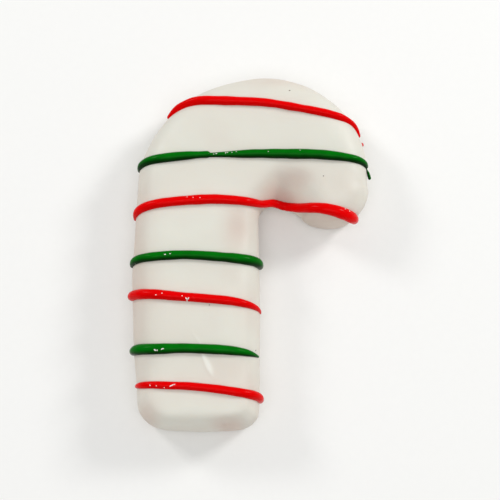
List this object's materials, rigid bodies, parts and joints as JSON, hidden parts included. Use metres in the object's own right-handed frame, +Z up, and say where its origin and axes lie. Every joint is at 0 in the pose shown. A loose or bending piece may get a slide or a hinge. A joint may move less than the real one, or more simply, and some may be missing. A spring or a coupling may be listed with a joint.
{
  "type": "candy cane",
  "caption": "Candy-cane-shaped sweet: a thick cane dipped in a smooth white coating, with red and green lines of icing laid across it.",
  "frame": {"origin": "on the ground, at the centre of the bounding box's base", "axes": "+X towards the side that the hook opens to, +Y from the toe to the crown, +Z up out of the iced side"},
  "size_m": [0.0672, 0.0996, 0.017],
  "materials": {
    "coat": "satin white confectionery coating, warm ivory",
    "red_icing": "soft gloss red icing",
    "green_icing": "soft gloss green icing"
  },
  "bodies": {
    "root": {"cane": "coat", "red_icing_1": "red_icing", "green_icing_1": "green_icing", "red_icing_2": "red_icing", "green_icing_2": "green_icing", "red_icing_3": "red_icing", "green_icing_3": "green_icing", "red_icing_4": "red_icing"}
  },
  "joints": []
}
